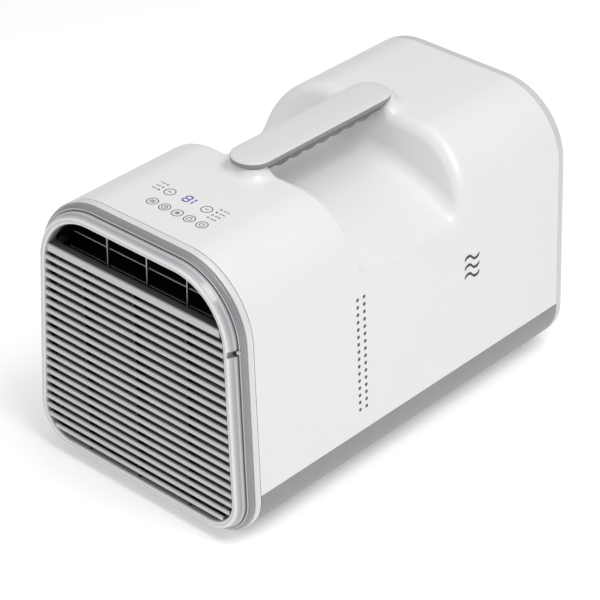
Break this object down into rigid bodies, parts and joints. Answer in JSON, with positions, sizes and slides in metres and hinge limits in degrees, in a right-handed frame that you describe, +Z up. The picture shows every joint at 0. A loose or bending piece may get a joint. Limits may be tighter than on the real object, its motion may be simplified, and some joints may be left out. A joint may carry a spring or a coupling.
{
  "type": "portable air conditioner",
  "caption": "Box-shaped portable air conditioner with a slatted front, a top air outlet with louvres, a hand scoop under a fixed handle and a rear hose collar.",
  "frame": {"origin": "on the floor under the middle of the unit's length and width", "axes": "+Z up, the grille and air outlet face -Y, +X is the unit's right side seen from behind the front"},
  "size_m": [0.3024, 0.5188, 0.333],
  "materials": {
    "base_grey": "fine texture",
    "foot_rubber": "matte",
    "shell_white": "satin",
    "screw_steel": "plated",
    "grip_grey": "soft touch",
    "handle_grey": "satin",
    "trim_white": "semi gloss",
    "bezel_silver": "silver satin",
    "grille_grey": "satin",
    "filter_dark": "matte",
    "duct_black": "matte",
    "louvre_grey": "satin",
    "copper": "drawn tube",
    "fin_aluminium": "rolled fin",
    "inner_white": "foam board",
    "motor_steel": "zinc plated",
    "compressor_black": "black enamel",
    "collar_grey": "satin",
    "inlet_black": "matte",
    "ink_dark": "printed ink",
    "digit_blue": "lit from behind",
    "board_green": "solder mask"
  },
  "bodies": {
    "cabinet": {"base_pan": "base_grey", "foot_front_left": "foot_rubber", "foot_front_right": "foot_rubber", "foot_rear_left": "foot_rubber", "foot_rear_right": "foot_rubber", "upper_casing": "shell_white", "casing_screws": "screw_steel", "handle_screws": "screw_steel", "handle_grip": "grip_grey", "handle_cap": "handle_grey", "front_ring": "trim_white", "front_bezel": "bezel_silver", "panel_catches": "screw_steel", "outlet_duct": "duct_black", "evaporator_tubes": "copper", "evaporator_fins": "fin_aluminium", "drip_tray": "duct_black", "blower_scroll": "inner_white", "blower_motor": "motor_steel", "bulkhead": "inner_white", "compressor": "compressor_black", "compressor_mounts": "foot_rubber", "accumulator": "copper", "suction_elbow": "copper", "condenser_tubes": "copper", "condenser_fins": "fin_aluminium", "fan_shroud": "duct_black", "fan_motor": "motor_steel", "motor_bracket": "motor_steel", "discharge_pipe": "copper", "liquid_line": "copper", "rear_ring": "trim_white", "rear_panel": "base_grey", "exhaust_collar": "collar_grey", "power_inlet": "inlet_black", "key_rings": "ink_dark", "key_signs": "ink_dark", "display_digits": "digit_blue", "status_lamps": "ink_dark", "touch_board": "board_green", "touch_springs": "motor_steel", "main_board": "board_green", "board_parts": "inlet_black", "side_mark": "ink_dark"},
    "front_panel": {"front_panel": "grille_grey", "filter_frame": "filter_dark", "filter_net": "filter_dark"},
    "louvre_lower": {"louvre_lower": "louvre_grey"},
    "louvre_upper": {"louvre_upper": "louvre_grey"},
    "vane_left": {"vane_left": "duct_black"},
    "vane_middle": {"vane_middle": "duct_black"},
    "vane_right": {"vane_right": "duct_black"},
    "blower_wheel": {"blower_wheel": "duct_black"},
    "condenser_fan": {"condenser_fan": "duct_black"},
    "drain_plug": {"drain_plug": "foot_rubber"}
  },
  "joints": [
    {"name": "front_panel_slide", "type": "slide", "parent": "cabinet", "child": "front_panel", "axis": [0, -1, 0], "range_m": [0, 0.04]},
    {"name": "louvre_lower_tilt", "type": "hinge", "parent": "cabinet", "child": "louvre_lower", "pos_m": [0, -0.21935, 0.23836], "axis": [1, 0, 0], "range_deg": [-28, 28]},
    {"name": "louvre_upper_tilt", "type": "hinge", "parent": "cabinet", "child": "louvre_upper", "pos_m": [0, -0.21935, 0.25826], "axis": [1, 0, 0], "range_deg": [-28, 28]},
    {"name": "vane_left_turn", "type": "hinge", "parent": "cabinet", "child": "vane_left", "pos_m": [-0.0553, -0.23435, 0.262], "axis": [0, 0, 1], "range_deg": [-30, 30]},
    {"name": "vane_middle_turn", "type": "hinge", "parent": "cabinet", "child": "vane_middle", "pos_m": [0, -0.23435, 0.262], "axis": [0, 0, 1], "range_deg": [-30, 30]},
    {"name": "vane_right_turn", "type": "hinge", "parent": "cabinet", "child": "vane_right", "pos_m": [0.0553, -0.23435, 0.262], "axis": [0, 0, 1], "range_deg": [-30, 30]},
    {"name": "blower_spin", "type": "hinge", "parent": "cabinet", "child": "blower_wheel", "pos_m": [0, -0.14835, 0.109], "axis": [0, 1, 0], "continuous": true},
    {"name": "condenser_fan_spin", "type": "hinge", "parent": "cabinet", "child": "condenser_fan", "pos_m": [0, 0.16665, 0.1255], "axis": [0, 1, 0], "continuous": true},
    {"name": "drain_plug_pull", "type": "slide", "parent": "cabinet", "child": "drain_plug", "axis": [0, 1, 0], "range_m": [0, 0.03]}
  ],
  "couplings": [
    {"joint": "louvre_upper_tilt", "follows": "louvre_lower_tilt", "ratio": 1},
    {"joint": "vane_left_turn", "follows": "vane_middle_turn", "ratio": 1},
    {"joint": "vane_right_turn", "follows": "vane_middle_turn", "ratio": 1}
  ]
}
